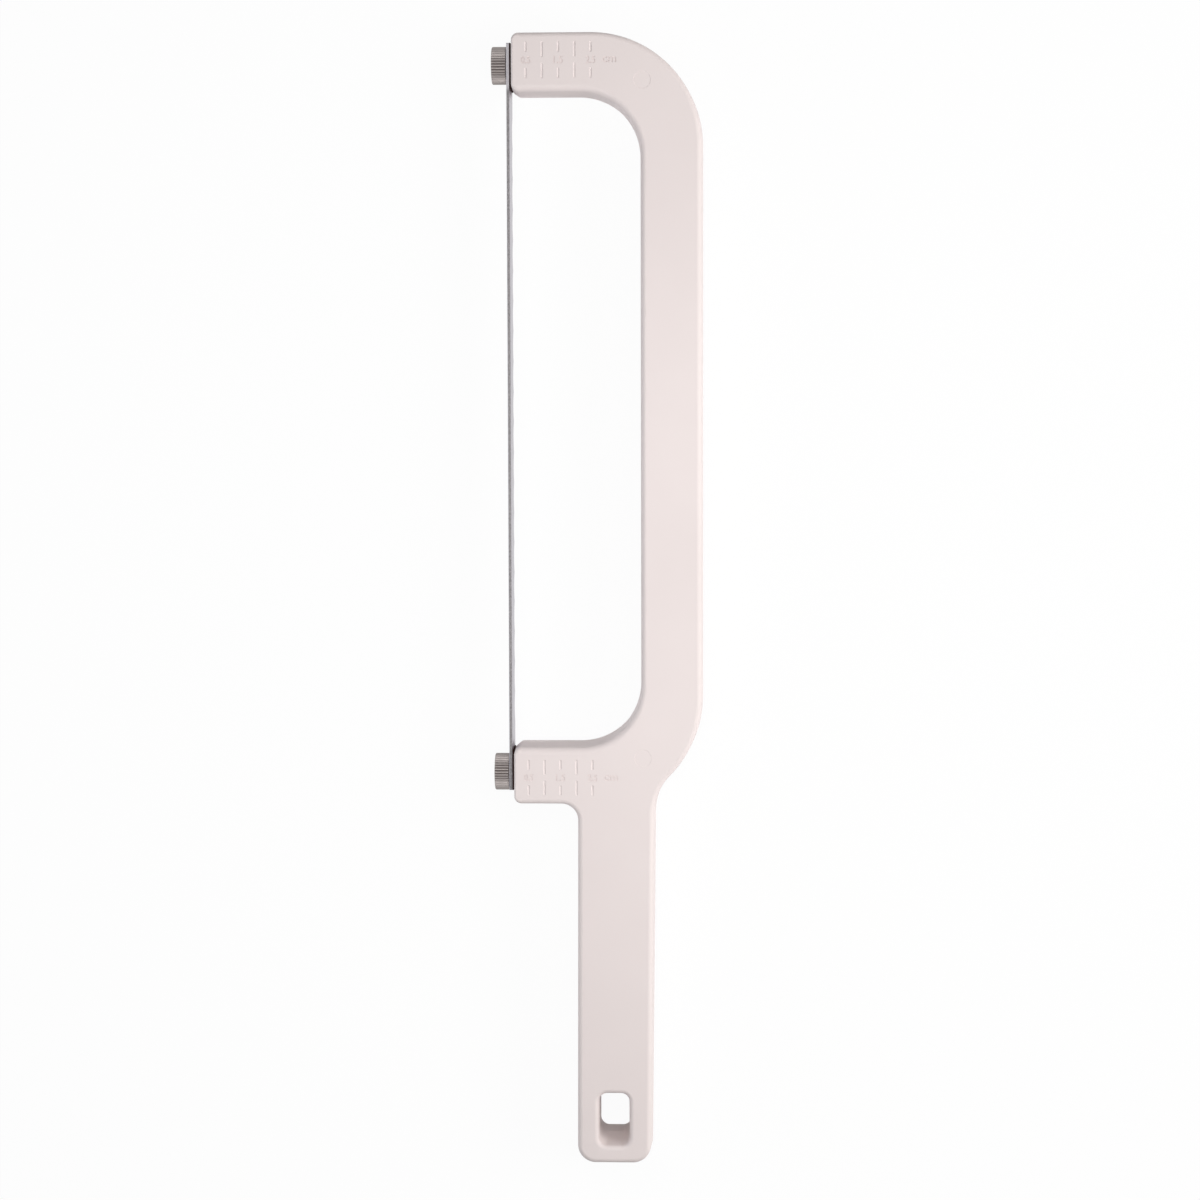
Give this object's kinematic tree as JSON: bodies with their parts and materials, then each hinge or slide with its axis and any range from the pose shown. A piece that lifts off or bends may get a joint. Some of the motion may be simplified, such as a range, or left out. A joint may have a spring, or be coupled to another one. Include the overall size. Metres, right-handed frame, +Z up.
{
  "type": "bread bow knife",
  "caption": "Bow-shaped bread knife: a moulded frame and handle hold a thin scalloped blade between two arms, clamped by knurled thumb screws, with a slice scale on the arms.",
  "frame": {"origin": "on the back face, under the middle of the knife's box as it lies on its back", "axes": "+X from the blade towards the back bar, +Y from the handle towards the tip, +Z up out of the front face"},
  "size_m": [0.0656, 0.354, 0.022],
  "materials": {
    "frame_plastic": "satin off-white moulding",
    "blade_steel": "brushed strip with a ground bevel",
    "screw_steel": "knurled and turned",
    "insert_brass": "turned",
    "pad_rubber": "thin dark brown sheet"
  },
  "bodies": {
    "frame": {"bow_frame": "frame_plastic", "top_threaded_insert": "insert_brass", "bottom_threaded_insert": "insert_brass", "top_blade_pad": "pad_rubber", "bottom_blade_pad": "pad_rubber"},
    "blade": {"blade": "blade_steel"},
    "top_screw": {"top_thumb_screw": "screw_steel"},
    "bottom_screw": {"bottom_thumb_screw": "screw_steel"}
  },
  "joints": [
    {"name": "blade_release", "type": "slide", "parent": "frame", "child": "blade", "axis": [-1, 0, 0], "range_m": [0, 0.012]},
    {"name": "top_screw_turn", "type": "hinge", "parent": "blade", "child": "top_screw", "pos_m": [-0.02807, 0.16755, 0.011], "axis": [-1, 0, 0], "range_deg": [0, 5401]},
    {"name": "bottom_screw_turn", "type": "hinge", "parent": "blade", "child": "bottom_screw", "pos_m": [-0.02807, -0.0535, 0.011], "axis": [-1, 0, 0], "range_deg": [0, 5401]}
  ],
  "couplings": [
    {"joint": "top_screw_turn", "follows": "blade_release", "rad_per_m": 7854},
    {"joint": "bottom_screw_turn", "follows": "blade_release", "rad_per_m": 7854}
  ]
}
